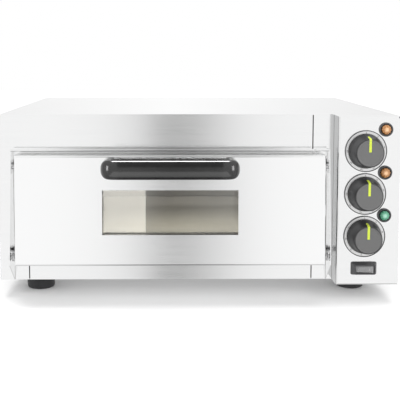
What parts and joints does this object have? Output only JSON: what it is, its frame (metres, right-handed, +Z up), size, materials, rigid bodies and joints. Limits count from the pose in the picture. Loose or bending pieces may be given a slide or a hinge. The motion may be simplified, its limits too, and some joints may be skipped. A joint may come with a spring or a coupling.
{
  "type": "countertop deck oven",
  "caption": "Stainless countertop baking oven with a drop-down windowed door, bow handle, stone deck inside, and a column of knobs, pilot lamps and a rocker switch on the right.",
  "frame": {"origin": "centre of the overall footprint, on the surface the feet stand on", "axes": "+X to the user's right along the width, +Y to the back (the door faces -Y), +Z up"},
  "size_m": [0.5716, 0.5142, 0.268],
  "materials": {
    "stainless": "brushed stainless sheet, satin",
    "liner_steel": "plain stainless liner sheet, slightly heat-tinted",
    "zinc_steel": "zinc-plated steel",
    "rubber_feet": "moulded black rubber",
    "stone": "pressed cordierite, matt and slightly sandy",
    "element_sheath": "oxidised heating-element sheath",
    "ceramic_beads": "unglazed steatite",
    "mineral_wool": "compressed mineral wool",
    "lamp_glass": "heat-resistant lamp glass",
    "window_glass": "toughened clear glass",
    "dial_aluminium": "spun aluminium with printed scale",
    "black_plastic": "black moulded plastic",
    "amber_lens": "translucent amber",
    "green_lens": "translucent green",
    "ivory_plastic": "ivory terminal plastic",
    "loom_sleeve": "braided glass-fibre sleeve",
    "handle_black": "polished black phenolic",
    "knob_grey": "dark grey moulded plastic, light texture",
    "rocker_grey": "grey moulded plastic"
  },
  "bodies": {
    "casing": {"base_pan": "stainless", "left_side_panel": "stainless", "right_side_panel": "stainless", "top_cover": "stainless", "rear_panel": "stainless", "front_frame": "stainless", "right_front_post": "stainless", "lower_front_rail": "stainless", "mouth_frame": "stainless", "control_panel": "stainless", "partition_wall": "liner_steel", "feet": "rubber_feet", "foot_fasteners": "zinc_steel", "casing_screws": "zinc_steel", "chamber_ceiling": "liner_steel", "chamber_floor": "liner_steel", "chamber_left_wall": "liner_steel", "chamber_right_wall": "liner_steel", "chamber_back_wall": "liner_steel", "stone_rails": "liner_steel", "baking_stone": "stone", "upper_elements": "element_sheath", "lower_elements": "element_sheath", "element_ceramics": "ceramic_beads", "element_supports": "liner_steel", "thermostat_capillaries": "zinc_steel", "chamber_insulation": "mineral_wool", "lamp_holder": "liner_steel", "lamp_glass": "lamp_glass", "lamp_bulb": "lamp_glass", "dial_plates": "dial_aluminium", "pilot_bezels": "black_plastic", "amber_lenses": "amber_lens", "green_lens": "green_lens", "switch_housing": "black_plastic", "thermostats": "zinc_steel", "timer_body": "zinc_steel", "terminal_block": "ivory_plastic", "wiring_loom": "loom_sleeve", "cable_gland": "black_plastic", "hinge_pins": "zinc_steel", "hinge_springs": "zinc_steel", "latch_clips": "zinc_steel"},
    "door": {"door_outer_skin": "stainless", "door_inner_skin": "stainless", "window_frame": "liner_steel", "outer_glass": "window_glass", "inner_glass": "window_glass", "door_insulation": "mineral_wool", "door_handle": "handle_black", "handle_screws": "zinc_steel", "door_hinge_blocks": "zinc_steel", "latch_pins": "zinc_steel"},
    "top_heat_control": {"top_heat_knob": "knob_grey", "top_heat_shaft": "zinc_steel"},
    "bottom_heat_control": {"bottom_heat_knob": "knob_grey", "bottom_heat_shaft": "zinc_steel"},
    "timer_control": {"timer_knob": "knob_grey", "timer_shaft": "zinc_steel"},
    "rocker": {"switch_rocker": "rocker_grey"}
  },
  "joints": [
    {"name": "door_hinge", "type": "hinge", "parent": "casing", "child": "door", "pos_m": [-0.038, -0.19796, 0.067], "axis": [1, 0, 0], "range_deg": [0, 85], "stiffness_Nm_per_rad": 0.4, "springref_deg": -40.11},
    {"name": "top_heat_turn", "type": "hinge", "parent": "casing", "child": "top_heat_control", "pos_m": [0.2348, -0.20596, 0.2186], "axis": [0, 1, 0], "range_deg": [0, 270]},
    {"name": "bottom_heat_turn", "type": "hinge", "parent": "casing", "child": "bottom_heat_control", "pos_m": [0.2348, -0.20596, 0.15815], "axis": [0, 1, 0], "range_deg": [0, 270]},
    {"name": "timer_turn", "type": "hinge", "parent": "casing", "child": "timer_control", "pos_m": [0.2348, -0.20596, 0.0977], "axis": [0, 1, 0], "range_deg": [0, 300]},
    {"name": "rocker_tilt", "type": "hinge", "parent": "casing", "child": "rocker", "pos_m": [0.2348, -0.21146, 0.0522], "axis": [0, 0, 1], "range_deg": [0, 16]}
  ]
}
